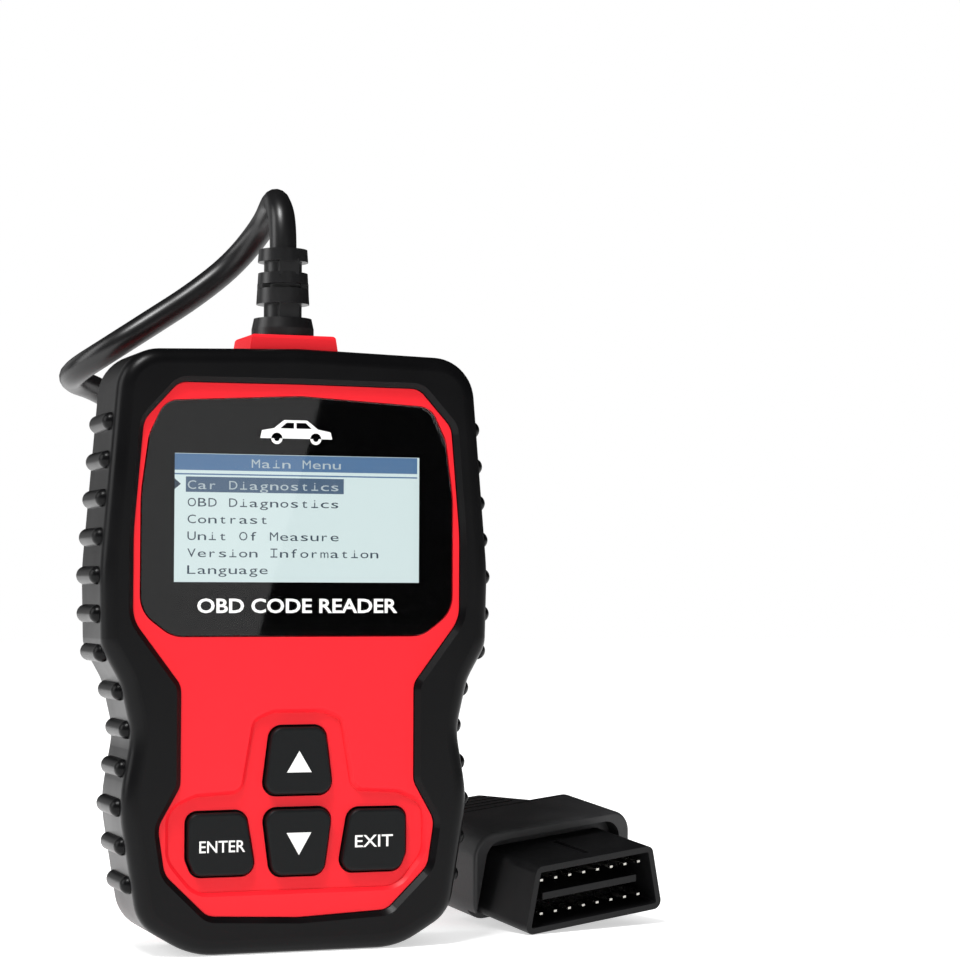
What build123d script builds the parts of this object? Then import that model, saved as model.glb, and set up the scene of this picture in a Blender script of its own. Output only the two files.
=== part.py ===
"""Handheld OBD code reader: a handset in a rubber boot, four keys, a lead and its 16-pin diagnostic plug.

Millimetres, +Z up. The handset stands on the flat foot of its boot: the origin is the middle of that foot,
-Y is the screen side, +X the right of somebody looking at the screen.
"""
from build123d import *
from math import cos, radians, sin, tan, pi
import os

os.makedirs("parts", exist_ok=True)

# Handset
deviceHeight = 130.0
deviceDepth = 25.0
bootFront = -deviceDepth / 2
bootBack = deviceDepth / 2
bootWall = 3.0
bootEdge = 3.4  # round of the boot's outer edges
lipDepth = 2.5  # the boot's lip over the front and back of the shells
shellWall = 2.2
partingY = 4.0  # the plane where the two shells meet
faceY = -11.0  # the shell's face inside the boot's lip
backY = 11.6
shoulderFront = bootFront + lipDepth
shoulderBack = bootBack - lipDepth
faceInner = -8.2
backInner = 9.2
slack = 0.15

# Grips: a row of short bars down each side
gripCount = 13
gripBottom = 15.2
gripTop = 113.4
gripRadius = 2.0
gripHalfLength = 8.6
gripStand = 1.8  # how far a bar stands out of the side

# Screen
lensFront = -10.85
lensThick = 1.3
maskThick = 0.2
gasketThick = 0.4
gasketBack = lensFront + lensThick + maskThick + gasketThick
windowHalfWidth = 27.5
windowBottom, windowTop = 79.3, 106.8
glassFront = -7.6

# Keys
keyTravel = 0.7
keyGap = 0.5
recessDepth = 1.1
recessSlope = 0.8  # the bevel round the recess
keyFront = -11.5
keyLip = 0.9
flangeFront = faceInner + 0.2
flangeBack = flangeFront + 1.0
postBack = -5.7
matFront = postBack + keyTravel + 0.1
matThick = 0.8

# Board
boardFront = -3.0
boardBack = -1.4
domeHeight = 0.6

# Lead: strain relief, cord and coil
cordDiameter = 6.0
glandY = partingY
bossTop = 133.4
glandTop = 153.1
coilCentre = (34.0, 100.0)
coilRadius = 36.0
coilTurns = 2
coilBase = 0.7
coilWidth = cordDiameter + 0.3
coilHeight = coilTurns * cordDiameter + 0.6

# Plug: 16 blades in two rows, seen from the front the wide side is down
pinPitch = 4.0
pinRowGap = 7.8
plugYaw, plugPitch, plugRoll = 15.5, 8.0, 5.5
plugFront = (74.3, 1.6, 9.4)
shroudTopWidth, shroudBottomWidth, shroudHeight = 33.2, 39.6, 15.4
shroudReach = 16.0
shroudWall = 1.4
headWidth, headBottom, headTop = 45.0, -9.0, 12.2
headEnd, shoulderEnd, gripEnd, reliefEnd = 36.0, 41.0, 60.0, 78.0


def acrossAt(y):
    """A sketch plane parallel to the screen at depth y: its x is the handset's X, its y the handset's Z."""
    return Plane.XZ.offset(-y)


def save(builder, name, colour):
    """Label a finished piece and write it."""
    builder.part.label = name
    builder.part.color = Color(*colour)
    export_step(builder.part, f"parts/{name}.step")


def cordRadii(points):
    """The radius for each corner of a cord's route: as large as its two runs allow."""
    runs = [Vector(*b) - Vector(*a) for a, b in zip(points, points[1:])]
    return [
        0.45 * min(a.length, b.length) / tan(radians(a.get_angle(b) / 2))
        for a, b in zip(runs, runs[1:])
    ]


black = (0.06, 0.06, 0.06)
red = (0.85, 0.1, 0.12)
silver = (0.75, 0.75, 0.77)
green = (0.05, 0.3, 0.15)
ivory = (0.9, 0.9, 0.85)

# Outlines, drawn on XY and placed later: x is the handset's X and y its Z. Each is one half and its mirror.
bodyHalf = [(0, 0), (23, 0), (34.8, 7), (38.9, 32), (36.3, 47), (38.8, 58), (43, 65.5), (43.4, 82),
            (39.5, 128.85), (0, deviceHeight)]
bodyRadii = [18, 9, 30, 16, 12, 7, 60, 9.5]
faceHalf = [(0, 7.4), (20, 8.3), (29.4, 17.5), (30.9, 27.5), (26.1, 36), (26.1, 57.3), (36.6, 71.3),
            (36.6, 90), (34.6, 113.6), (27, 122), (0, 122.2)]
faceRadii = [4, 5, 5, 4, 4, 8, 60, 5, 4]
lensHalf = [(0, 67.7), (28, 67.7), (34.95, 73), (34.95, 98), (33.3, 110.5), (29.8, 117.9), (0, 119.5)]
lensRadii = [7, 7, 40, 7, 4.5]
recessHalf = [(0, 13.3), (22.5, 13.3), (28.4, 20.5), (28.4, 31), (22.5, 33.6), (12.2, 34.2), (9.6, 49.6),
              (5.5, 51.3), (0, 51.3)]
recessRadii = [6, 6, 4.5, 3, 3, 2.5, 1.5]


def halfOutline(points, radii):
    """A closed outline from the right half's corners and the radius of each corner."""
    with BuildSketch() as outline:
        with BuildLine():
            FilletPolyline(*points, radius=radii)
            mirror(about=Plane.YZ)
        make_face()
    return outline.sketch


bodyOutline = halfOutline(bodyHalf, bodyRadii)
faceOutline = halfOutline(faceHalf, faceRadii)
lensOutline = halfOutline(lensHalf, lensRadii)
recessOutline = halfOutline(recessHalf, recessRadii)
shellOutline = offset(bodyOutline, -bootWall - slack)
cavityOutline = offset(bodyOutline, -bootWall - shellWall)


def keyOutline(points, radii):
    with BuildSketch() as outline:
        with BuildLine():
            FilletPolyline(*points, radius=radii, close=True)
        make_face()
    return outline.sketch


keyUp = keyOutline([(-7.7, 33.8), (7.7, 33.8), (5.9, 48.2), (-5.9, 48.2)], [2.6, 2.6, 2.6, 2.6])
keyDown = keyOutline([(-5.7, 16.5), (5.7, 16.5), (7.6, 30.6), (-7.6, 30.6)], [2.6, 2.6, 2.6, 2.6])
sideKey = [(-22.8, 16.9), (-9.4, 16.9), (-11.7, 30.3), (-24.3, 30.2), (-24.3, 20.5)]
sideRadii = [2.4, 2.6, 2.6, 2.2, 3]
keyEnter = keyOutline(sideKey, sideRadii)
keyExit = keyOutline([(-x, z) for x, z in reversed(sideKey)], sideRadii[::-1])
keys = {"key_up": keyUp, "key_down": keyDown, "key_enter": keyEnter, "key_exit": keyExit}
keyCentres = {"key_up": (0, 40.5), "key_down": (0, 23.8), "key_enter": (-17, 23.6), "key_exit": (17, 23.6)}
postPlaces = [(-31.95, 121.45), (31.95, 121.45), (-27.7, 11.4), (27.7, 11.4)]  # under the boot's lip


def prism(outline, front, back, grow=0.0, mode=Mode.ADD):
    """Extrude an outline between two depths, grown or shrunk all round by grow."""
    with BuildSketch(acrossAt(back)) as profile:
        add(outline if grow == 0 else offset(outline, grow, mode=Mode.PRIVATE))
    extrude(profile.sketch, amount=back - front, mode=mode)


def roundBox(x, z, width, height, front, back, radius=0.0, mode=Mode.ADD):
    """A box with rounded corners, centred at x and z, between two depths."""
    with BuildSketch(acrossAt(back)) as profile:
        with Locations((x, z)):
            if radius > 0:
                RectangleRounded(width, height, radius)
            else:
                Rectangle(width, height)
    extrude(profile.sketch, amount=back - front, mode=mode)


def rodAt(places, radius, front, back, mode=Mode.ADD):
    """Round rods through the thickness at each (x, z)."""
    with BuildSketch(acrossAt(back)) as profile:
        with Locations(*places):
            Circle(radius)
    extrude(profile.sketch, amount=back - front, mode=mode)


def crossSlots(places, front, back):
    """The cross recess in each screw head."""
    for x, z in places:
        roundBox(x, z, 2.6, 0.6, front, back, mode=Mode.SUBTRACT)
        roundBox(x, z, 0.6, 2.6, front, back, mode=Mode.SUBTRACT)


def sideX(z):
    """The half width of the body at height z."""
    return (Line((0, z), (60, z)) & bodyOutline).vertices().sort_by(Axis.X)[-1].X


# Boot: one rubber sleeve round the shells, open over the face and the back
bossHalfWidth, bossFront, bossBack = 10.6, -5.5, 9.5
gripStep = (gripTop - gripBottom) / (gripCount - 1)
gripPlaces = [
    (side * (sideX(z) + gripStand - gripRadius), y, z)
    for z in [gripBottom + i * gripStep for i in range(gripCount)]
    for side in (-1, 1)
    for y in (-1, 1)
]
with BuildPart() as rubberBoot:
    prism(bodyOutline, bootFront, bootBack)
    broadFaces = rubberBoot.faces().sort_by(Axis.Y)
    fillet(broadFaces[0].edges() + broadFaces[-1].edges(), bootEdge)
    with Locations(*[(x, 0, z) for x, y, z in gripPlaces if y > 0]):
        Cylinder(gripRadius, 2 * (gripHalfLength - gripRadius), rotation=(90, 0, 0))
    with Locations(*[(x, y * (gripHalfLength - gripRadius), z) for x, y, z in gripPlaces]):
        Sphere(gripRadius)
    prism(bodyOutline, shoulderFront, shoulderBack, grow=-bootWall, mode=Mode.SUBTRACT)
    prism(faceOutline, bootFront - 1, bootBack + 1, mode=Mode.SUBTRACT)
    chamfer(rubberBoot.faces().filter_by(Axis.Y).sort_by(Axis.Y)[0].inner_wires().edges(), 1.1)
    with Locations((0, (bossFront + bossBack) / 2, deviceHeight)):
        Box(2 * bossHalfWidth + 1.2, bossBack - bossFront + 0.6, 12, mode=Mode.SUBTRACT)
save(rubberBoot, "rubber_boot", black)


def shellBoss(shell, front, back):
    """The half of the lead's boss that stands up through the boot, rounded but for its parting edge."""
    sections = []
    for z, width in [(deviceHeight - bootWall - 1, 2 * bossHalfWidth), (bossTop, 2 * bossHalfWidth - 2.4)]:
        with BuildSketch(Plane.XY.offset(z)) as section:
            with Locations((0, (front + back) / 2)):
                Rectangle(width, back - front)
        sections.append(section.sketch)
    loft(sections)
    rim = shell.faces().sort_by(Axis.Z)[-1].edges()
    fillet([edge for edge in rim if abs(edge.center().Y - partingY) > 0.1], 0.8)


stemRadius = 4.6
flangeTop = deviceHeight - bootWall - shellWall - 0.3
with BuildPart() as frontShell:
    prism(shellOutline, shoulderFront + slack, partingY)
    prism(faceOutline, faceY, partingY, grow=-slack)
    prism(cavityOutline, faceInner, partingY, mode=Mode.SUBTRACT)
    shellBoss(frontShell, bossFront, partingY)
    rodAt(postPlaces, 3.0, faceInner, partingY)
    rodAt(postPlaces, 1.1, -5.0, partingY, mode=Mode.SUBTRACT)
    prism(lensOutline, faceY - 1, gasketBack, grow=slack, mode=Mode.SUBTRACT)
    roundBox(0, (windowBottom + windowTop) / 2, 59, 31.5, -12, -5, mode=Mode.SUBTRACT)
    prism(recessOutline, faceY - 1, faceY + recessDepth, mode=Mode.SUBTRACT)
    frontFace = frontShell.faces().filter_by(Axis.Y).sort_by(Axis.Y)[0]
    chamfer(frontFace.inner_wires().sort_by(Axis.Z)[0].edges(), recessSlope)
    for outline in keys.values():
        prism(outline, faceY - 1, faceInner + 1, grow=keyGap, mode=Mode.SUBTRACT)
    with Locations((0, glandY, deviceHeight)):
        Cylinder(stemRadius + 0.1, 30, mode=Mode.SUBTRACT)
save(frontShell, "front_shell", red)

labelPlace, labelSize, labelRecess = (0.0, 84.0), (44.0, 26.0), (44.6, 26.6)
screwSeat = 6.0
with BuildPart() as rearShell:
    prism(shellOutline, partingY + 0.05, shoulderBack - slack)
    prism(faceOutline, partingY + 0.05, backY, grow=-slack)
    fillet(rearShell.faces().sort_by(Axis.Y)[-1].edges(), 0.8)
    prism(cavityOutline, partingY, backInner, mode=Mode.SUBTRACT)
    shellBoss(rearShell, partingY + 0.05, bossBack)
    rodAt(postPlaces, 3.4, partingY + 0.05, backInner)
    rodAt(postPlaces, 1.4, partingY - 1, backY + 1, mode=Mode.SUBTRACT)
    rodAt(postPlaces, 2.7, screwSeat, backY + 1, mode=Mode.SUBTRACT)
    roundBox(*labelPlace, *labelRecess, backY - 0.3, backY + 1, 2.0, mode=Mode.SUBTRACT)
    with Locations((0, glandY, deviceHeight)):
        Cylinder(stemRadius + 0.1, 30, mode=Mode.SUBTRACT)
save(rearShell, "rear_shell", red)

with BuildPart() as rearLabel:
    roundBox(*labelPlace, *labelSize, backY - 0.3, backY - 0.1, 1.8)
save(rearLabel, "rear_label", silver)

with BuildPart() as housingScrews:
    rodAt(postPlaces, 2.4, screwSeat, screwSeat + 2.0)
    rodAt(postPlaces, 1.1, -4.5, screwSeat)
    crossSlots(postPlaces, screwSeat + 0.8, screwSeat + 2.1)
save(housingScrews, "housing_screws", silver)

# Screen: a clear lens, black print behind it, a gasket, and the display module on the board
glueGap = 0.03
maskFront = lensFront + lensThick + glueGap
windowMid = (windowBottom + windowTop) / 2
windowHeight = windowTop - windowBottom
with BuildPart() as screenLens:
    prism(lensOutline, lensFront, lensFront + lensThick)
    chamfer(screenLens.faces().sort_by(Axis.Y)[0].edges(), 0.2)
save(screenLens, "screen_lens", silver)

with BuildPart() as lensMask:
    prism(lensOutline, maskFront, maskFront + maskThick - glueGap)
    roundBox(0, windowMid, 2 * windowHalfWidth, windowHeight, -12, -5, mode=Mode.SUBTRACT)
save(lensMask, "lens_mask", black)

with BuildPart() as lensGasket:
    prism(lensOutline, gasketBack - gasketThick, gasketBack, grow=-0.6)
    roundBox(0, windowMid, 61, 33.5, -12, -5, mode=Mode.SUBTRACT)
save(lensGasket, "lens_gasket", ivory)

moduleWidth, moduleHeight = 62.0, 35.0
with BuildPart() as displayBezel:
    roundBox(0, windowMid, moduleWidth, moduleHeight, glassFront - 0.3, boardFront, 0.8)
    roundBox(0, windowMid, moduleWidth - 1.2, moduleHeight - 1.2, glassFront, -2, mode=Mode.SUBTRACT)
    roundBox(0, windowMid, 57, 29.5, -12, -5, mode=Mode.SUBTRACT)
save(displayBezel, "display_bezel", black)

with BuildPart() as displayGlass:
    roundBox(0, windowMid, moduleWidth - 1.6, moduleHeight - 1.6, glassFront + 0.05, glassFront + 1.9)
save(displayGlass, "display_glass", ivory)

with BuildPart() as displayBacklight:
    roundBox(0, windowMid, moduleWidth - 1.6, moduleHeight - 1.6, glassFront + 2.0, boardFront - 0.1)
save(displayBacklight, "display_backlight", ivory)

# Board: wide behind the display, narrow behind the keys
boardHalf = [(0, 10.5), (22.5, 10.5), (22.5, 58), (31.5, 68), (31.5, 114), (0, 114)]
boardScrewPlaces = [(-28.8, 72.0), (28.8, 72.0), (-19.8, 13.4), (19.8, 13.4)]
pinPlaces = [(-11.43 + 2.54 * i, 111.9) for i in range(10)]
with BuildPart() as mainBoard:
    prism(halfOutline(boardHalf, [1, 2, 2, 1.5]), boardFront, boardBack)
    rodAt(boardScrewPlaces, 1.15, boardFront - 1, boardBack + 1, mode=Mode.SUBTRACT)
    rodAt(pinPlaces, 0.5, boardFront - 1, boardBack + 1, mode=Mode.SUBTRACT)
save(mainBoard, "main_board", green)

with BuildPart() as displayPins:
    for x, z in pinPlaces:
        roundBox(x, z, 0.6, 0.6, boardFront - 2.2, boardBack + 0.8)
    roundBox(0, pinPlaces[0][1], 25.2, 2.2, boardFront - 1.6, boardFront)
save(displayPins, "display_pins", silver)

with BuildPart() as boardScrews:
    rodAt(boardScrewPlaces, 2.0, boardBack, boardBack + 1.5)
    rodAt(boardScrewPlaces, 1.0, boardFront - 3.0, boardBack)
    crossSlots(boardScrewPlaces, boardBack + 0.7, boardBack + 1.6)
save(boardScrews, "board_screws", silver)

with BuildPart() as processorChip:
    roundBox(-9, 58, 12, 12, boardBack, boardBack + 1.5, 0.4)
save(processorChip, "processor_chip", black)

with BuildPart() as transceiverChip:
    roundBox(12, 98, 5, 4, boardBack, boardBack + 1.5)
save(transceiverChip, "transceiver_chip", black)

with BuildPart() as crystal:
    roundBox(5, 58, 4.6, 11, boardBack, boardBack + 3.4, 2.2)
save(crystal, "crystal", silver)

with BuildPart() as voltageRegulator:
    roundBox(-20, 97, 10, 9, boardBack, boardBack + 2.3)
save(voltageRegulator, "voltage_regulator", black)

with BuildPart() as capacitors:
    rodAt([(-20, 82), (-10, 84), (20, 82)], 3.1, boardBack, boardBack + 6.0)
save(capacitors, "capacitors", silver)

chipPlaces = [(x, z) for x in (-18, -13.5, 13.5, 18) for z in (34, 40, 46)]
chipPlaces += [(x, 74) for x in range(-16, 17, 4)]
with BuildPart() as chipComponents:
    for x, z in chipPlaces:
        roundBox(x, z, 1.3, 2.1, boardBack, boardBack + 0.7)
save(chipComponents, "chip_components", ivory)

# Keypad: dome switches on the board, a rubber mat over them, and the four keys
domeRadius = 4.0
domeBall = (domeRadius**2 + domeHeight**2) / (2 * domeHeight)
with BuildPart() as domeSwitches:
    for x, z in keyCentres.values():
        with BuildSketch(Plane(origin=(x, boardFront, z), x_dir=(1, 0, 0), z_dir=(0, 0, 1))) as dome:
            with BuildLine():
                ThreePointArc((0, -domeHeight), (domeRadius / 2, domeBall - domeHeight
                              - (domeBall**2 - domeRadius**2 / 4) ** 0.5), (domeRadius, 0))
                Polyline((domeRadius, 0), (0, 0), (0, -domeHeight))
            make_face()
        revolve(dome.sketch, axis=Axis((x, 0, z), (0, 1, 0)))
save(domeSwitches, "dome_switches", silver)

with BuildPart() as keypadMat:
    roundBox(0, 31.0, 44, 33, matFront, matFront + matThick, 3)
    rodAt(list(keyCentres.values()), 1.6, matFront + matThick, boardFront - domeHeight - 0.1)
save(keypadMat, "keypad_mat", ivory)

for name, outline in keys.items():
    with BuildPart() as key:
        prism(outline, keyFront, flangeBack)
        fillet(key.faces().sort_by(Axis.Y)[0].edges(), 0.7)
        prism(outline, flangeFront, flangeBack, grow=keyLip)
        rodAt([keyCentres[name]], 2.6, flangeBack, postBack)
    save(key, name, black)

# Strain relief: a flange inside the shells, a stem through the boss, and collars joined by ribs
reliefBase, reliefNeck = 6.9, 4.2
with BuildPart() as strainRelief:
    with BuildSketch(Plane.XZ.offset(-glandY)) as profile:
        with BuildLine():
            Polyline(
                (0, flangeTop - 2.2), (stemRadius, flangeTop - 2.2), (stemRadius, bossTop),
                (reliefBase, bossTop), (reliefBase, 135.4), (6.4, 137.7),
                (reliefNeck, 137.7), (reliefNeck, 140.9), (5.9, 140.9), (5.5, 147.8), (reliefNeck, 147.8),
                (reliefNeck, 150.3), (5.6, 150.3), (5.4, glandTop), (0, glandTop), close=True)
        make_face()
    revolve(profile.sketch, axis=Axis((0, glandY, 0), (0, 0, 1)))
    with Locations((0, glandY, flangeTop - 1.1)):
        Box(14, 2 * (backInner - glandY - 0.1), 2.2)
    for z in (139.3, 149.0):
        with Locations((0, glandY, z)):
            Box(4.4, 10.6, 3.4)
    with Locations((0, glandY, 144.8)):
        Box(20, 20, 1.0, mode=Mode.SUBTRACT)
    with Locations((0, glandY, 144.8)):
        Cylinder(reliefNeck, 1.4)
        Box(10.6, 4.4, 1.4)
save(strainRelief, "strain_relief", black)

# Connector and wires inside, from the relief to the board
headerZ = 106.5
with BuildPart() as cableHeader:
    roundBox(0, headerZ, 12.4, 5.8, boardBack, boardBack + 4.4)
    roundBox(0, headerZ + 1.0, 10.8, 5.8, boardBack + 0.8, boardBack + 3.6, mode=Mode.SUBTRACT)
save(cableHeader, "cable_header", ivory)

with BuildPart() as cableSocket:
    roundBox(0, headerZ + 2.4, 10.4, 7.4, boardBack + 1.0, boardBack + 3.4)
save(cableSocket, "cable_socket", ivory)

wireTop = flangeTop - 2.2
socketTop = headerZ + 2.4 + 3.7
wireY = boardBack + 2.2
with BuildPart() as leadWires:
    for i in range(4):
        side = i - 1.5
        route = [(side * 1.3, glandY, wireTop), (side * 1.3, glandY, wireTop - 3.4),
                 (side * 2.3, wireY, socketTop + 3.4), (side * 2.3, wireY, socketTop)]
        with BuildLine() as path:
            FilletPolyline(*route, radius=[2.4, 2.4])
        with BuildSketch(Plane(origin=path.line @ 0, z_dir=path.line % 0)) as section:
            Circle(0.55)
        sweep(section.sketch, path=path.line)
save(leadWires, "lead_wires", red)

# Plug frame: the origin is the middle of the shroud's mouth, x right, y up, z out of the mouth
yaw, pitch, roll = radians(plugYaw), radians(plugPitch), radians(plugRoll)
nose = Vector(sin(yaw) * cos(pitch), -cos(yaw) * cos(pitch), -sin(pitch))
level = Vector(cos(yaw), sin(yaw), 0)
plugPlane = Plane(origin=plugFront, x_dir=level.rotate(Axis((0, 0, 0), nose), plugRoll), z_dir=nose)


def behind(depth):
    """A sketch plane across the plug, that far behind its mouth."""
    return plugPlane.offset(-depth)


def plugSection(depth, width, bottom, top, radius):
    with BuildSketch(behind(depth)) as section:
        with Locations((0, (bottom + top) / 2)):
            RectangleRounded(width, top - bottom, radius)
    return section.sketch


def shroudOutline(grow):
    """The D of the connector, grown all round by grow."""
    half = shroudHeight / 2
    with BuildSketch() as outline:
        with BuildLine():
            FilletPolyline((-shroudBottomWidth / 2, -half), (shroudBottomWidth / 2, -half),
                           (shroudTopWidth / 2, half), (-shroudTopWidth / 2, half), radius=1.9, close=True)
        make_face()
    return outline.sketch if grow == 0 else offset(outline.sketch, grow)


def plugPrism(outline, near, far, mode=Mode.ADD):
    """Extrude an outline across the plug between two depths behind its mouth."""
    with BuildSketch(behind(far)) as profile:
        add(outline)
    extrude(profile.sketch, amount=far - near, mode=mode)


def plugBlock(x, y, width, height, near, far, mode=Mode.ADD):
    with BuildSketch(behind(far)) as profile:
        with Locations((x, y)):
            Rectangle(width, height)
    extrude(profile.sketch, amount=far - near, mode=mode)


shroudEnd = shroudReach + 6.0
cavityDepth = 13.0
bladePlaces = [((i - 3.5) * pinPitch, side * pinRowGap / 2) for i in range(8) for side in (-1, 1)]
with BuildPart() as plugShroud:
    plugPrism(shroudOutline(0), 0, shroudEnd)
    plugPrism(shroudOutline(-shroudWall), -1, cavityDepth, mode=Mode.SUBTRACT)
    plugBlock(0, 0, 27, 1.6, 2.0, cavityDepth)
    plugBlock(0, shroudHeight / 2, 1.7, 1.2, 3.5, shroudReach, mode=Mode.SUBTRACT)
    for x, y in bladePlaces:
        plugBlock(x, y, 1.8, 1.0, cavityDepth - 1, shroudEnd + 1, mode=Mode.SUBTRACT)
save(plugShroud, "plug_shroud", black)



def bladeSection(x, y, depth, width, height):
    with BuildSketch(behind(depth)) as section:
        with Locations((x, y)):
            Rectangle(width, height)
    return section.sketch


with BuildPart() as plugPins:
    for x, y in bladePlaces:
        plugBlock(x, y, 1.6, 0.8, 4.0, shroudEnd - 0.5)
        loft([bladeSection(x, y, 4.0, 1.6, 0.8), bladeSection(x, y, 1.8, 0.8, 0.5)])
save(plugPins, "plug_pins", silver)

gripWidth, gripHeadBottom, gripHeadTop = 31.5, -7.4, 9.4
neckTop, tailTop = headTop - 1.6, gripHeadTop - 1
grooveStart, grooveStep, grooveCount = 43.5, 3.6, 4
with BuildPart() as plugBody:
    loft([plugSection(shroudReach, headWidth, headBottom, headTop, 5.5),
          plugSection(headEnd, headWidth, headBottom, headTop, 5.5)])
    loft([plugSection(headEnd, headWidth, headBottom, headTop, 5.5),
          plugSection(shoulderEnd, gripWidth + 1, headBottom + 1.2, neckTop, 5.5)])
    loft([plugSection(shoulderEnd, gripWidth + 1, headBottom + 1.2, neckTop, 5.5),
          plugSection(gripEnd, gripWidth - 6, gripHeadBottom + 1.5, tailTop, 5.5)])
    fillet(plugBody.faces().sort_by(Axis(plugFront, -nose))[-1].edges(), 2.5)
    fillet(plugBody.faces().sort_by(Axis(plugFront, -nose))[0].edges(), 0.8)
    plugPrism(shroudOutline(2.4), shroudReach - 1, shroudReach + 4, mode=Mode.SUBTRACT)
    plugPrism(shroudOutline(0.05), shroudReach - 1, shroudEnd + 0.1, mode=Mode.SUBTRACT)
    for x, width, near, far in [(-20, 0.7, 24, 35.5), (20, 0.7, 24, 35.5), (0, 40.7, 34.8, 35.5)]:
        plugBlock(x, headTop, width, 1.0, near, far, mode=Mode.SUBTRACT)
    for near in [grooveStart + grooveStep * i for i in range(grooveCount)]:
        top = neckTop + (tailTop - neckTop) * (near + 0.6 - shoulderEnd) / (gripEnd - shoulderEnd)
        plugBlock(0, top, 17.0, 1.4, near, near + 1.2, mode=Mode.SUBTRACT)
save(plugBody, "plug_body", black)


def plugDisc(depth, radius):
    """A round section of the plug's relief, on the middle line of the body."""
    with BuildSketch(behind(depth)) as section:
        with Locations((0, reliefRise)):
            Circle(radius)
    return section.sketch


reliefRise = (gripHeadBottom + gripHeadTop) / 2
reliefRadius, reliefTip = 5.6, 4.2
with BuildPart() as plugRelief:
    loft([plugDisc(gripEnd, reliefRadius), plugDisc(reliefEnd, reliefTip)])
    for i in range(4):
        depth = gripEnd + 3 + 3.8 * i
        with BuildSketch(behind(depth + 1.5)) as groove:
            with Locations((0, reliefRise)):
                Circle(reliefRadius + 1)
                Circle(reliefTip - 0.5, mode=Mode.SUBTRACT)
                Rectangle(2.4, 20, mode=Mode.SUBTRACT)
        extrude(groove.sketch, amount=1.5, mode=Mode.SUBTRACT)
save(plugRelief, "plug_relief", black)

# Cord: out of the handset's relief, over behind it, round to the left, down to a coil, and on to the plug
cordTop = [
    (0, glandY, glandTop), (0, glandY, 159.4), (0.2, 9.8, 164.9), (1.4, 17.2, 165.6), (1.6, 25.6, 161.6),
    (-4.0, 31.6, 153.2), (-13.4, 32.2, 145.4), (-23.6, 31.6, 138.6), (-33.0, 33.4, 132.2),
    (-39.0, 42.6, 127.8), (-37.4, 55.0, 126.8), (-28.6, 64.8, 125.6), (-17.2, 69.6, 119.2),
    (-7.5, 69.4, 107.0), (0.5, 67.5, 91.0), (3.6, 65.5, 72.0), (4.6, 64.0, 51.0), (4.6, 62.8, 31.0),
    (4.2, 66.5, 14.6), (2.4, 78.5, 4.4), (-1.4, 91.5, 4.2)]
plugExit = plugPlane.from_local_coords(Vector(0, reliefRise, -reliefEnd))
cordEnd = [
    (2.7, 85.4, 9.4), (3.0, 101.1, 8.4), (8.5, 114.7, 7.4), (18.5, 124.8, 7.2), (31.4, 129.5, 8.2),
    (44.6, 126.2, 11.0), (52.0, 115.6, 15.4), (53.0, 102.6, 19.6), tuple(plugExit - nose * 12.5),
    tuple(plugExit)]


def cordTube(route):
    """A plain tube along a route of straight runs and tangent arcs."""
    radii = cordRadii(route)
    with BuildLine() as path:
        line = FilletPolyline(*route, radius=radii)
    with BuildSketch(Plane(origin=path.line @ 0, z_dir=path.line % 0)) as section:
        Circle(cordDiameter / 2)
    sweep(section.sketch, path=path.line)
    tube = pi * cordDiameter**2 / 4 * line.length
    print("radii", [round(r, 1) for r in radii])
    print("length", round(line.length, 1), "section x length", round(tube))


with BuildPart() as cordUpper:
    cordTube(cordTop)
save(cordUpper, "cord_upper", black)
print("volume", round(cordUpper.part.volume))

with BuildPart() as cordLower:
    cordTube(cordEnd)
save(cordLower, "cord_lower", black)
print("volume", round(cordLower.part.volume))

with BuildPart() as cordCoil:
    with BuildSketch(Plane.XZ.offset(-coilCentre[1])) as section:
        with Locations((coilCentre[0] + coilRadius, coilBase + coilHeight / 2)):
            RectangleRounded(coilWidth, coilHeight, 2.8)
    revolve(section.sketch, axis=Axis((*coilCentre, 0), (0, 0, 1)))
save(cordCoil, "cord_coil", black)

# Strap round the coil
strapThick, strapWidth, strapGap, strapAngle = 0.55, 8.0, 0.05, 5.0
strapInside = coilWidth + 0.7
outward = Vector(cos(radians(strapAngle)), sin(radians(strapAngle)), 0)
strapMiddle = Vector(*coilCentre, coilBase + coilHeight / 2) + outward * coilRadius
strapPlane = Plane(origin=strapMiddle, x_dir=outward, z_dir=(outward.Y, -outward.X, 0))
with BuildPart() as coilStrap:
    with BuildSketch(strapPlane.offset(-strapWidth / 2)) as ring:
        RectangleRounded(strapInside + 2 * strapThick, coilHeight + 2 * (strapGap + strapThick), 3.4)
        RectangleRounded(strapInside, coilHeight + 2 * strapGap, 2.9, mode=Mode.SUBTRACT)
    extrude(ring.sketch, amount=strapWidth)
save(coilStrap, "coil_strap", black)
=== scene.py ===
import math

import bmesh
import bpy
from mathutils import Matrix, Vector


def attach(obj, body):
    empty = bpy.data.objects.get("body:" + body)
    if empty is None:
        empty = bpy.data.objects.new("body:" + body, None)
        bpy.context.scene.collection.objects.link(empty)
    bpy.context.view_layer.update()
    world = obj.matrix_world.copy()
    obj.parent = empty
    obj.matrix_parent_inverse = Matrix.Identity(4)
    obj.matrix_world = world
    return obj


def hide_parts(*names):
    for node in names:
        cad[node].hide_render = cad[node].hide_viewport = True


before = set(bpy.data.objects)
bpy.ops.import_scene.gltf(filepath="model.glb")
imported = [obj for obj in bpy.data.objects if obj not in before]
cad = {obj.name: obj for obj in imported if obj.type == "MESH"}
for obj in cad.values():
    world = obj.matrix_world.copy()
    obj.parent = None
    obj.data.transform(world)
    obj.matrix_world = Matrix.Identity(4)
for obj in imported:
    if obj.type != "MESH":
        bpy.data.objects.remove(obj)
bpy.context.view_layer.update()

mm = 0.001


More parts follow.
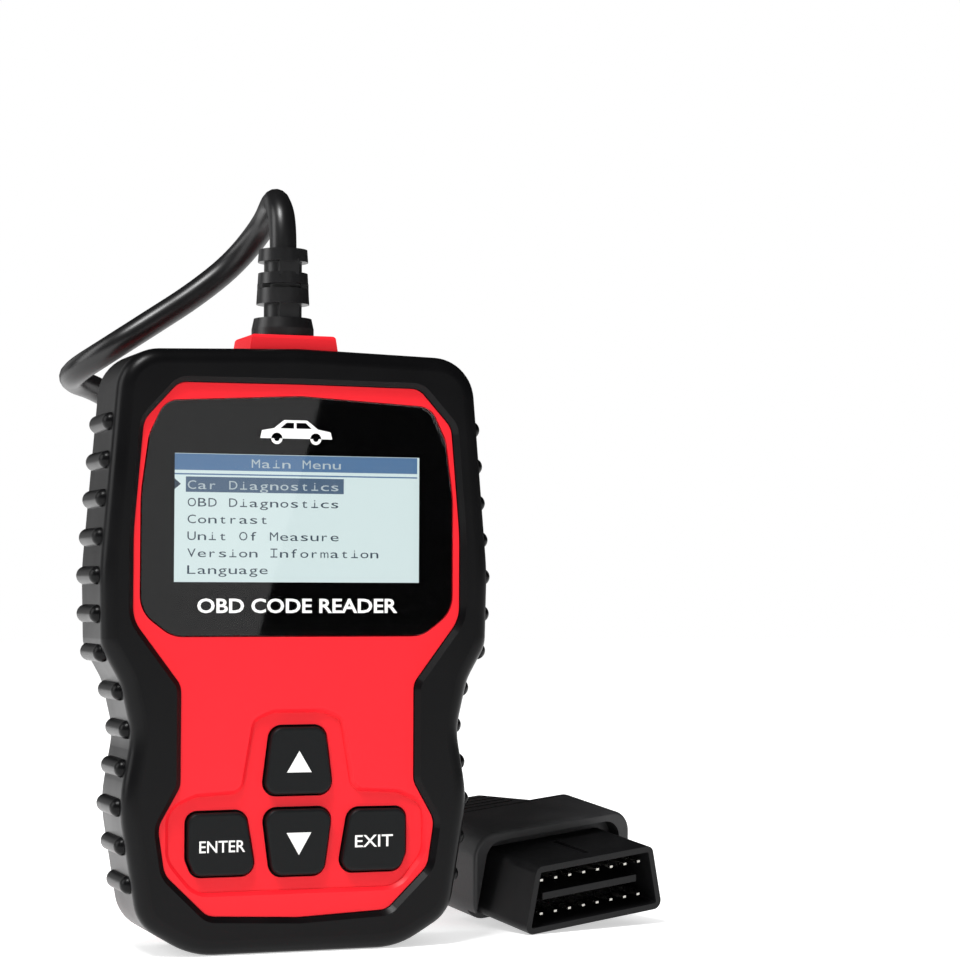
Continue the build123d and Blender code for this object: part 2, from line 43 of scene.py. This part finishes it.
def linear(hexColour):
    # sRGB hex to the linear colour that a shader takes
    parts = [int(hexColour[i:i + 2], 16) / 255 for i in (1, 3, 5)]
    return [p / 12.92 if p <= 0.04045 else ((p + 0.055) / 1.055) ** 2.4 for p in parts] + [1.0]


def addNode(tree, kind, settings=None, links=None):
    # a node, with its socket values and its own settings, and what feeds it
    node = tree.nodes.new("ShaderNode" + kind)
    for key, value in (settings or {}).items():
        if isinstance(key, int) or key in node.inputs:
            node.inputs[key].default_value = value
        else:
            setattr(node, key, value)
    for key, source in (links or {}).items():
        tree.links.new(source, node.inputs[key])
    return node


def newMaterial(name, **sockets):
    material = bpy.data.materials.new(name)
    material.use_nodes = True
    shader = material.node_tree.nodes["Principled BSDF"]
    for key, value in sockets.items():
        shader.inputs[key.replace("_", " ")].default_value = value
    return material, material.node_tree, shader


def mottle(tree, shader, dark, light, patch, grain, height, roughness):
    # two close tones in patches of patch mm, a moulded grain of grain mm that is height mm deep,
    # and a roughness that wanders between two values
    place = addNode(tree, "TexCoord").outputs["Object"]
    cloud = addNode(tree, "TexNoise", {"Scale": 1 / (patch * mm), "Detail": 3.0}, {"Vector": place})
    fine = addNode(tree, "TexNoise", {"Scale": 1 / (grain * mm), "Detail": 2.0}, {"Vector": place})
    blend = addNode(tree, "Mix", {"data_type": "RGBA", 6: linear(dark), 7: linear(light)},
                    {0: cloud.outputs["Fac"]})
    rough = addNode(tree, "MapRange", {"From Min": 0.3, "From Max": 0.7, "To Min": roughness[0],
                                       "To Max": roughness[1]}, {"Value": cloud.outputs["Fac"]})
    bump = addNode(tree, "Bump", {"Strength": 1.0, "Distance": height * mm},
                   {"Height": fine.outputs["Fac"]})
    tree.links.new(blend.outputs[2], shader.inputs["Base Color"])
    tree.links.new(rough.outputs["Result"], shader.inputs["Roughness"])
    tree.links.new(bump.outputs["Normal"], shader.inputs["Normal"])
    return place, blend


def thermoplasticRubber():
    # moulded soft rubber: deep grey-black with a faint, broad sheen and a fine spark-eroded grain
    material, tree, shader = newMaterial("thermoplasticRubber", IOR=1.5, Specular_IOR_Level=0.13)
    mottle(tree, shader, "#070708", "#0C0C0D", 14, 0.35, 0.006, (0.28, 0.35))
    return material


def redAbs():
    # pigmented moulded plastic with a fine satin texture: the colour is flat and the highlights are soft
    material, tree, shader = newMaterial("redAbs", IOR=1.53, Specular_IOR_Level=0.2)
    mottle(tree, shader, "#E41A26", "#EC1D29", 25, 0.3, 0.004, (0.36, 0.42))
    return material


def clearAcrylic():
    # polished clear sheet: only its reflections show
    material, tree, shader = newMaterial("clearAcrylic", IOR=1.49, Roughness=0.02, Transmission_Weight=1.0)
    shader.inputs["Base Color"].default_value = linear("#FFFFFF")
    place = addNode(tree, "TexCoord").outputs["Object"]
    haze = addNode(tree, "TexNoise", {"Scale": 1 / (9 * mm), "Detail": 4.0}, {"Vector": place})
    rough = addNode(tree, "MapRange", {"From Min": 0.35, "From Max": 0.75, "To Min": 0.012, "To Max": 0.03},
                    {"Value": haze.outputs["Fac"]})
    tree.links.new(rough.outputs["Result"], shader.inputs["Roughness"])
    return material


def blackPrint():
    # screen-printed ink behind the clear sheet: near black, even and matt
    material, tree, shader = newMaterial("blackPrint", IOR=1.45, Specular_IOR_Level=0.02)
    mottle(tree, shader, "#030304", "#050506", 20, 0.4, 0.001, (0.8, 0.9))
    return material


def keyRubber():
    # silicone with a soft-touch coat: charcoal, matt, with a fine grain
    material, tree, shader = newMaterial("keyRubber", IOR=1.43, Specular_IOR_Level=0.2)
    mottle(tree, shader, "#0E1011", "#131516", 6, 0.3, 0.008, (0.45, 0.53))
    return material


def legendInk():
    # white ink printed on the keys: chalky, a little uneven
    material, tree, shader = newMaterial("legendInk", IOR=1.45)
    mottle(tree, shader, "#E9E9E7", "#F6F6F4", 2.0, 0.15, 0.004, (0.5, 0.6))
    return material


def softPvc():
    # extruded cable jacket: smooth black vinyl with a satin sheen
    material, tree, shader = newMaterial("softPvc", IOR=1.53, Specular_IOR_Level=0.4)
    mottle(tree, shader, "#0D0D0E", "#131314", 9, 0.5, 0.008, (0.32, 0.4))
    return material


def nylonBlack():
    # glass-filled nylon: dark, a little glossy, with a fine speckle
    material, tree, shader = newMaterial("nylonBlack", IOR=1.53, Specular_IOR_Level=0.15)
    mottle(tree, shader, "#101011", "#161617", 3, 0.25, 0.006, (0.38, 0.48))
    return material


def overmouldPvc():
    # the plug's over-moulded body: matt black with a visible grain
    material, tree, shader = newMaterial("overmouldPvc", IOR=1.5, Specular_IOR_Level=0.35)
    mottle(tree, shader, "#232324", "#303031", 8, 0.4, 0.03, (0.42, 0.5))
    return material


def platedMetal(name, dark, light, roughness):
    # tin, nickel or gold plate: bright, with slightly dull patches
    material, tree, shader = newMaterial(name, Metallic=1.0)
    mottle(tree, shader, dark, light, 2.5, 0.2, 0.003, roughness)
    return material


def mouldedPlain(name, dark, light, roughness, patch=5, grain=0.3):
    # any plain moulded, cast or printed piece inside the case
    material, tree, shader = newMaterial(name, IOR=1.5)
    mottle(tree, shader, dark, light, patch, grain, 0.008, roughness)
    return material


def solderMask():
    # green lacquer over copper: tracks show as slightly paler, wavy bands
    material, tree, shader = newMaterial("solderMask", IOR=1.55)
    place, blend = mottle(tree, shader, "#0C3B1E", "#0F4825", 6, 0.3, 0.004, (0.25, 0.35))
    waves = addNode(tree, "TexWave", {"Scale": 1 / (8 * mm), "Distortion": 3.0, "Detail": 1.0,
                                      "bands_direction": "X"}, {"Vector": place})
    tracks = addNode(tree, "Mix", {"data_type": "RGBA", 7: linear("#1C6236")},
                     {0: waves.outputs["Fac"], 6: blend.outputs[2]})
    tree.links.new(tracks.outputs[2], shader.inputs["Base Color"])
    return material


def wovenStrap():
    # hook-and-loop tape: black nylon weave with a fuzzy sheen
    material, tree, shader = newMaterial("wovenStrap", IOR=1.5, Sheen_Weight=0.12, Sheen_Roughness=0.6)
    place = mottle(tree, shader, "#101011", "#1C1C1D", 1.2, 0.25, 0.05, (0.8, 0.9))[0]
    weave = addNode(tree, "TexChecker", {"Scale": 1 / (0.8 * mm)}, {"Vector": place})
    bump = addNode(tree, "Bump", {"Strength": 0.8, "Distance": 0.1 * mm}, {"Height": weave.outputs["Fac"]})
    tree.links.new(bump.outputs["Normal"], shader.inputs["Normal"])
    return material


def litScreen(name, hexColour, strength):
    # a back-lit display layer: it shines a little, evenly, with a faint dot structure
    material, tree, shader = newMaterial(name, IOR=1.5, Emission_Strength=strength)
    shader.inputs["Emission Color"].default_value = linear(hexColour)
    mottle(tree, shader, "#101214", "#16181A", 12, 0.4, 0.002, (0.4, 0.45))
    return material


print("materials")
redPlastic, bootRubber, inkWhite, cableVinyl = redAbs(), thermoplasticRubber(), legendInk(), softPvc()
blackInk = blackPrint()
nickel = platedMetal("nickelPlate", "#A9A7A0", "#C4C2BB", (0.22, 0.35))
gold = platedMetal("goldFlash", "#B98E3F", "#D8B15C", (0.2, 0.32))
epoxy = mouldedPlain("mouldedEpoxy", "#151516", "#1D1D1E", (0.5, 0.6))
nylonIvory = mouldedPlain("nylonIvory", "#D9D2BC", "#E6E0CD", (0.45, 0.55))
finishes = {
    "rubber_boot": bootRubber, "front_shell": redPlastic, "rear_shell": redPlastic,
    "rear_label": mouldedPlain("labelFilm", "#BDBDB8", "#C9C9C4", (0.3, 0.4), 10),
    "housing_screws": nickel, "board_screws": nickel, "screen_lens": clearAcrylic(), "lens_mask": blackInk,
    "lens_gasket": mouldedPlain("foamTape", "#1B1B1B", "#242424", (0.85, 0.95), 1.0, 0.5),
    "display_bezel": mouldedPlain("blackSteel", "#121213", "#18181A", (0.35, 0.45)),
    "display_glass": litScreen("displayGlass", "#D8EAEA", 1.0),
    "display_backlight": mouldedPlain("backlightMoulding", "#DEDED8", "#EAEAE5", (0.4, 0.5)),
    "display_pins": gold, "main_board": solderMask(), "processor_chip": epoxy, "transceiver_chip": epoxy,
    "voltage_regulator": epoxy, "crystal": nickel, "capacitors": nickel, "dome_switches": nickel,
    "chip_components": mouldedPlain("firedCeramic", "#8A7350", "#A58B63", (0.4, 0.5), 1.0, 0.2),
    "keypad_mat": mouldedPlain("greySilicone", "#6E7073", "#7C7E81", (0.6, 0.7)),
    "cable_header": nylonIvory, "cable_socket": nylonIvory,
    "lead_wires": mouldedPlain("wireVinyl", "#8E1B1B", "#A32222", (0.35, 0.45)),
    "strain_relief": cableVinyl, "plug_relief": cableVinyl, "plug_body": overmouldPvc(),
    "plug_shroud": nylonBlack(), "plug_pins": nickel, "coil_strap": wovenStrap(),
}
keyFinish = keyRubber()
for keyName in ("key_up", "key_down", "key_enter", "key_exit"):
    finishes[keyName] = keyFinish
for nodeName, finish in finishes.items():
    slots = cad[nodeName].material_slots
    for index in range(len(slots)):
        slots[index].material = finish


def finishPiece(name, bm, material, body):
    # a bmesh becomes a piece that rides on its body, with its place in its mesh
    mesh = bpy.data.meshes.new(name)
    bm.to_mesh(mesh)
    bm.free()
    piece = bpy.data.objects.new(name, mesh)
    bpy.context.scene.collection.objects.link(piece)
    mesh.materials.append(material)
    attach(piece, body)
    return piece


cameraSettings = {"place": (-0.1556, -0.552, 0.0785), "yaw": 20.0, "tilt": 2.35, "roll": 0.18, "lens": 97.5}


def makeCamera(s):
    camera = bpy.data.cameras.new("camera")
    camera.lens = s["lens"]
    camera.sensor_width = 36.0
    camera.clip_start = 0.01
    holder = bpy.data.objects.new("camera", camera)
    bpy.context.scene.collection.objects.link(holder)
    turn = Matrix.Rotation(math.radians(-s["yaw"]), 4, "Z")
    turn = turn @ Matrix.Rotation(math.radians(90 + s["tilt"]), 4, "X")
    turn = turn @ Matrix.Rotation(math.radians(s["roll"]), 4, "Z")
    holder.matrix_world = Matrix.Translation(s["place"]) @ turn
    bpy.context.scene.camera = holder


print("camera")
makeCamera(cameraSettings)

# The lead: millimetres. It leaves the relief upwards, folds over behind the handset, swings round on the
# left, drops to the coil, makes its turns clockwise and crosses the coil to the plug.
cordSettings = {
    "diameter": 6.0,
    "down": [
        (0, 4, 153.1), (0, 4, 159.4), (0.2, 9.8, 164.9), (1.4, 17.2, 165.6), (1.6, 25.6, 161.6),
        (-4.0, 31.6, 153.2), (-13.4, 32.2, 145.4), (-23.6, 31.6, 138.6), (-33.0, 33.4, 132.2),
        (-39.0, 42.6, 127.8), (-37.4, 55.0, 126.8), (-28.6, 64.8, 125.6), (-17.2, 69.6, 119.2),
        (-7.5, 69.4, 107.0), (0.5, 67.5, 91.0), (3.6, 65.5, 72.0), (4.6, 64.0, 51.0), (4.6, 62.8, 31.0),
        (4.2, 66.5, 14.6), (2.4, 78.5, 4.4), (-1.4, 91.5, 4.2)],
    "coilCentre": (34.0, 100.0), "coilRadius": 36.8, "innerRadius": 30.0, "coilStart": 195.0,
    "coilTurns": 2.08, "pointsPerTurn": 14, "lowTurn": 3.75, "highTurn": 9.9,
    "across": [
        (8.5, 114.7, 5.4), (18.5, 124.8, 6.2), (31.4, 129.5, 8.2), (44.6, 126.2, 11.0), (52.0, 115.6, 15.4),
        (53.0, 102.6, 19.6)],
    "plugExit": (53.6, 75.87, 21.24), "plugRun": (50.29, 87.8, 22.98),
    "length": 0.82,
}


def eased(t, start, end):
    # 0 before start, 1 after end, and a smooth rise between them
    x = min(1.0, max(0.0, (t - start) / (end - start)))
    return x * x * (3 - 2 * x)


def coilPoints(s):
    # two turns on each other; the second one drops inside the first before it ends
    points = []
    for i in range(1, int(s["coilTurns"] * s["pointsPerTurn"]) + 1):
        t = i / s["pointsPerTurn"]
        inward = eased(t, 1.5, 1.75)
        angle = math.radians(s["coilStart"] - 360 * t)
        radius = s["coilRadius"] + (s["innerRadius"] - s["coilRadius"]) * inward
        height = s["lowTurn"] + (s["highTurn"] - s["lowTurn"]) * (eased(t, 0.68, 0.92) - inward)
        points.append((s["coilCentre"][0] + radius * math.cos(angle),
                       s["coilCentre"][1] + radius * math.sin(angle), height))
    return points


def makeCord(s):
    points = s["down"] + coilPoints(s) + s["across"] + [s["plugRun"], s["plugExit"]]
    curve = bpy.data.curves.new("lead_cord", "CURVE")
    curve.dimensions = "3D"
    curve.bevel_depth = s["diameter"] / 2 * mm
    curve.bevel_resolution = 6
    curve.resolution_u = 8
    spline = curve.splines.new("NURBS")
    spline.points.add(len(points) - 1)
    for point, place in zip(spline.points, points):
        point.co = (*(Vector(place) * mm), 1.0)
    spline.order_u = 3
    spline.use_endpoint_u = True
    piece = bpy.data.objects.new("lead_cord", curve)
    bpy.context.scene.collection.objects.link(piece)
    curve.materials.append(cableVinyl)
    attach(piece, "handset")
    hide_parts("cord_upper", "cord_coil", "cord_lower")


print("lead")
makeCord(cordSettings)


def upright(depth):
    # from a flat drawing in millimetres, x across and y up, to the screen side at that depth
    lift = Matrix.Translation((0, depth * mm, 0)) @ Matrix.Rotation(math.radians(90), 4, "X")
    return lift @ Matrix.Scale(mm, 4)


glyphSettings = {
    "capitalShare": 0.73,  # a capital's height as a share of the type's size
    # the share of the pitch that a narrow or another letter fills, and the most that it is stretched
    "narrow": "ftr", "narrowShare": 0.52, "wideShare": 0.8, "widest": 2.0,
    # letters with a foot bar, and the bar's half width as a share of the pitch, and its height
    "barred": "ilI", "barShare": 0.34, "barHeight": 0.24,
}


def addGlyphs(bm, words, left, base, height, depth, pitch=None, bold=0.0, thick=0.02):
    # letters of a given capital height in a bmesh: each fitted to a fixed pitch, or all as one text
    s = glyphSettings
    letters = [(words, left)]
    if pitch:
        letters = [(letter, left + pitch * (i + 0.5)) for i, letter in enumerate(words)]
    for letter, place in letters:
        if letter == " ":
            continue
        curve = bpy.data.curves.new("glyph", "FONT")
        curve.body = letter
        curve.size = height / s["capitalShare"]
        curve.offset = bold
        curve.extrude = thick / 2
        curve.resolution_u = 3
        holder = bpy.data.objects.new("glyph", curve)
        bpy.context.scene.collection.objects.link(holder)
        depsgraph = bpy.context.evaluated_depsgraph_get()
        mesh = bpy.data.meshes.new_from_object(holder.evaluated_get(depsgraph))
        stretch = 1.0
        if pitch:
            low, high = (pick(v.co.x for v in mesh.vertices) for pick in (min, max))
            mesh.transform(Matrix.Translation((-(low + high) / 2, 0, 0)))
            if letter in s["barred"]:
                half = pitch * s["barShare"]
                for bottom in (base, base + height - s["barHeight"]) if letter == "I" else (base,):
                    bar = rectangle(place - half, place + half, bottom, bottom + s["barHeight"])
                    addPlate(bm, bar, depth, thick)
            else:
                share = s["narrowShare"] if letter in s["narrow"] else s["wideShare"]
                stretch = min(s["widest"], pitch * share / (high - low))
        fit = Matrix.Translation((place, base, 0)) @ Matrix.Diagonal((stretch, 1, 1, 1))
        mesh.transform(upright(depth) @ fit)
        bm.from_mesh(mesh)
        bpy.data.objects.remove(holder)
        bpy.data.curves.remove(curve)
        bpy.data.meshes.remove(mesh)


def thicken(bm, faces, thick):
    # flat faces get a printed layer's thickness, towards the screen side
    raised = bmesh.ops.extrude_face_region(bm, geom=faces)["geom"]
    moved = [v for v in raised if isinstance(v, bmesh.types.BMVert)]
    bmesh.ops.translate(bm, verts=moved, vec=(0, -thick * mm, 0))
    bmesh.ops.recalc_face_normals(bm, faces=bm.faces)


def addPlate(bm, outline, depth, thick=0.02):
    # a thin printed shape from its outline in millimetres
    ring = [bm.verts.new(upright(depth) @ Vector((x, z, 0))) for x, z in outline]
    thicken(bm, [bm.faces.new(ring)], thick)


def addDisc(bm, centre, radius, depth, thick=0.02):
    place = upright(depth) @ Matrix.Translation((*centre, 0))
    made = bmesh.ops.create_circle(bm, cap_ends=True, segments=24, radius=radius, matrix=place)
    thicken(bm, list({face for v in made["verts"] for face in v.link_faces}), thick)


def rectangle(left, right, bottom, top):
    return [(left, bottom), (right, bottom), (right, top), (left, top)]


# The picture on the display: everything in millimetres on the glass
pictureSettings = {
    "bars": -7.58, "ink": -7.61, "pitch": 2.28, "left": -24.4, "header": (-27.6, 27.6, 103.3, 106.8),
    "title": ("Main Menu", -10.3, 104.0), "divider": (-27.6, 27.6, 102.3, 102.6),
    "chosen": (-24.6, 10.7, 98.6, 101.9), "chosenWords": ("Car Diagnostics", 99.25),
    "rows": [("OBD Diagnostics", 95.5), ("Contrast", 91.9), ("Unit Of Measure", 88.3),
             ("Version Information", 84.65), ("Language", 81.05)],
    "capital": 1.95, "marker": [(-27.2, 99.0), (-25.7, 100.3), (-27.2, 101.6)],
}


def makePicture(s):
    dark = litScreen("displayInk", "#33495C", 0.7)
    header = litScreen("displayHeader", "#5E87B4", 0.75)
    chosen = litScreen("displayChosen", "#56718E", 0.75)
    pale = litScreen("displayPale", "#D6E6EC", 0.7)
    bm = bmesh.new()
    addPlate(bm, rectangle(*s["header"]), s["bars"])
    addPlate(bm, rectangle(*s["divider"]), s["bars"])
    finishPiece("picture_header", bm, header, "handset")
    bm = bmesh.new()
    addPlate(bm, rectangle(*s["chosen"]), s["bars"])
    finishPiece("picture_chosen_row", bm, chosen, "handset")
    bm = bmesh.new()
    words, left, base = s["title"]
    addGlyphs(bm, words, left, base, s["capital"], s["ink"], s["pitch"])
    words, base = s["chosenWords"]
    addGlyphs(bm, words, s["left"], base, s["capital"], s["ink"], s["pitch"])
    finishPiece("picture_pale_words", bm, pale, "handset")
    bm = bmesh.new()
    for words, base in s["rows"]:
        addGlyphs(bm, words, s["left"], base, s["capital"], s["ink"], s["pitch"])
    addPlate(bm, s["marker"], s["ink"])
    finishPiece("picture_dark_words", bm, dark, "handset")


print("picture on the display")
makePicture(pictureSettings)

# Print on the lens: plain words below the window, a small car above it
lensPrintSettings = {
    "depth": -10.86, "words": "OBD CODE READER", "left": -22.6, "right": 22.2, "base": 72.8, "height": 3.1,
    "carPlace": (-9.0, 109.2), "carScale": 0.95,
    "car": [(0, 1.2), (0.4, 3.0), (3.2, 3.5), (5.6, 5.4), (11.0, 5.4), (13.6, 3.4), (16.6, 2.8),
            (17.0, 1.2)],
    "windows": [[(4.7, 3.5), (6.2, 4.8), (7.9, 4.8), (7.9, 3.5)],
                [(8.5, 3.5), (8.5, 4.8), (10.7, 4.8), (12.1, 3.5)]],
    "wheels": [(3.9, 1.2), (13.1, 1.2)], "tyre": 1.25, "hub": 0.6, "overlay": 0.03,
}


def makeLensPrint(s):
    bm = bmesh.new()
    addGlyphs(bm, s["words"], 0, 0, s["height"], s["depth"], None, 0.09)
    low, high = (pick(v.co.x for v in bm.verts) for pick in (min, max))
    stretch = (s["right"] - s["left"]) * mm / (high - low)
    place = Matrix.Translation((s["left"] * mm, 0, s["base"] * mm)) @ Matrix.Diagonal((stretch, 1, 1, 1))
    bmesh.ops.transform(bm, matrix=place @ Matrix.Translation((-low, 0, 0)), verts=bm.verts)
    finishPiece("lens_words", bm, inkWhite, "handset")

    def shift(outline):
        across, up = s["carPlace"]
        return [(across + x * s["carScale"], up + z * s["carScale"]) for x, z in outline]

    bm = bmesh.new()
    addPlate(bm, shift(s["car"]), s["depth"])
    for wheel in shift(s["wheels"]):
        addDisc(bm, wheel, s["tyre"], s["depth"])
    finishPiece("lens_car", bm, inkWhite, "handset")
    bm = bmesh.new()
    for outline in s["windows"]:
        addPlate(bm, shift(outline), s["depth"] - s["overlay"])
    for wheel in shift(s["wheels"]):
        addDisc(bm, wheel, s["hub"], s["depth"] - s["overlay"])
    finishPiece("lens_car_windows", bm, blackInk, "handset")


print("print on the lens")
makeLensPrint(lensPrintSettings)

# Legends printed on the keys
legendSettings = {
    "depth": -11.51,
    "key_up": [(-2.75, 38.5), (2.75, 38.5), (0, 43.1)],
    "key_down": [(-2.75, 25.6), (0, 20.8), (2.75, 25.6)],
    "key_enter": ("ENTER", -21.9, -11.9, 21.9, 2.6),
    "key_exit": ("EXIT", 12.6, 21.2, 22.1, 2.7),
}


def makeLegend(name, s):
    bm = bmesh.new()
    if isinstance(s[name][0], str):
        words, left, right, base, height = s[name]
        addGlyphs(bm, words, 0, 0, height, s["depth"], None, 0.03)
        low, high = (pick(v.co.x for v in bm.verts) for pick in (min, max))
        place = Matrix.Translation((left * mm, 0, base * mm))
        place = place @ Matrix.Diagonal(((right - left) * mm / (high - low), 1, 1, 1))
        bmesh.ops.transform(bm, matrix=place @ Matrix.Translation((-low, 0, 0)), verts=bm.verts)
    else:
        addPlate(bm, s[name], s["depth"])
    finishPiece(name + "_legend", bm, inkWhite, name + "_body")


print("legends")
for keyName in ("key_up", "key_down", "key_enter", "key_exit"):
    makeLegend(keyName, legendSettings)

stageSettings = {"floorSize": 6.0, "floorColour": "#F0F0F0", "floorGlow": 0.62, "worldColour": "#FFFFFF",
                 "worldDiffuse": 0.54, "worldGlossy": 0.015}


def makeStage(s):
    bm = bmesh.new()
    bmesh.ops.create_grid(bm, x_segments=1, y_segments=1, size=s["floorSize"] / 2)
    mesh = bpy.data.meshes.new("floor")
    bm.to_mesh(mesh)
    bm.free()
    floor = bpy.data.objects.new("floor", mesh)
    bpy.context.scene.collection.objects.link(floor)
    # matt studio paper, lit so evenly that from the front it meets the background without an edge
    material, tree, shader = newMaterial("paperFloor", Roughness=1.0, Emission_Strength=s["floorGlow"])
    shader.inputs["Base Color"].default_value = linear(s["floorColour"])
    shader.inputs["Emission Color"].default_value = linear(s["floorColour"])
    shader.inputs["Specular IOR Level"].default_value = 0.0
    mesh.materials.append(material)
    world = bpy.data.worlds.new("studio")
    world.use_nodes = True
    bpy.context.scene.world = world
    tree = world.node_tree
    path = addNode(tree, "LightPath")
    background = tree.nodes["Background"]
    background.inputs["Color"].default_value = linear(s["worldColour"])
    dim = addNode(tree, "MapRange", {"To Min": s["worldDiffuse"], "To Max": s["worldGlossy"]},
                  {"Value": path.outputs["Is Glossy Ray"]})
    seen = addNode(tree, "Mix", {"data_type": "FLOAT", 3: 1.0},
                   {0: path.outputs["Is Camera Ray"], 2: dim.outputs["Result"]})
    tree.links.new(seen.outputs[0], background.inputs["Strength"])


lightSettings = {  # place, target, lean in degrees, width and height in metres, power in watts
    "leftPanel": ((-1.0, 0.2, 0.5), (0, 0, 0.07), 0, (0.5, 0.8), 5),
    "backLeftPanel": ((-0.55, 1.1, 0.35), (0, 0, 0.07), 0, (0.7, 0.8), 0.9),
    "topPanel": ((-0.45, -0.45, 1.15), (0, 0, 0.06), 0, (0.3, 0.3), 14),
    "lensPanel": ((0.099, -0.62, 0.133), (0.099, 0, 0.133), -14.8, (0.15, 0.5), 0.11),
}


def makeLight(name, s):
    place, target, lean, size, power = s[name]
    light = bpy.data.lights.new(name, "AREA")
    light.shape = "RECTANGLE"
    light.size, light.size_y = size
    light.energy = power
    holder = bpy.data.objects.new(name, light)
    bpy.context.scene.collection.objects.link(holder)
    facing = (Vector(target) - Vector(place)).to_track_quat("-Z", "Y").to_matrix().to_4x4()
    holder.matrix_world = Matrix.Translation(place) @ facing @ Matrix.Rotation(math.radians(lean), 4, "Z")


print("stage")
makeStage(stageSettings)
for lightName in lightSettings:
    makeLight(lightName, lightSettings)
bpy.context.scene.view_settings.view_transform = "Standard"
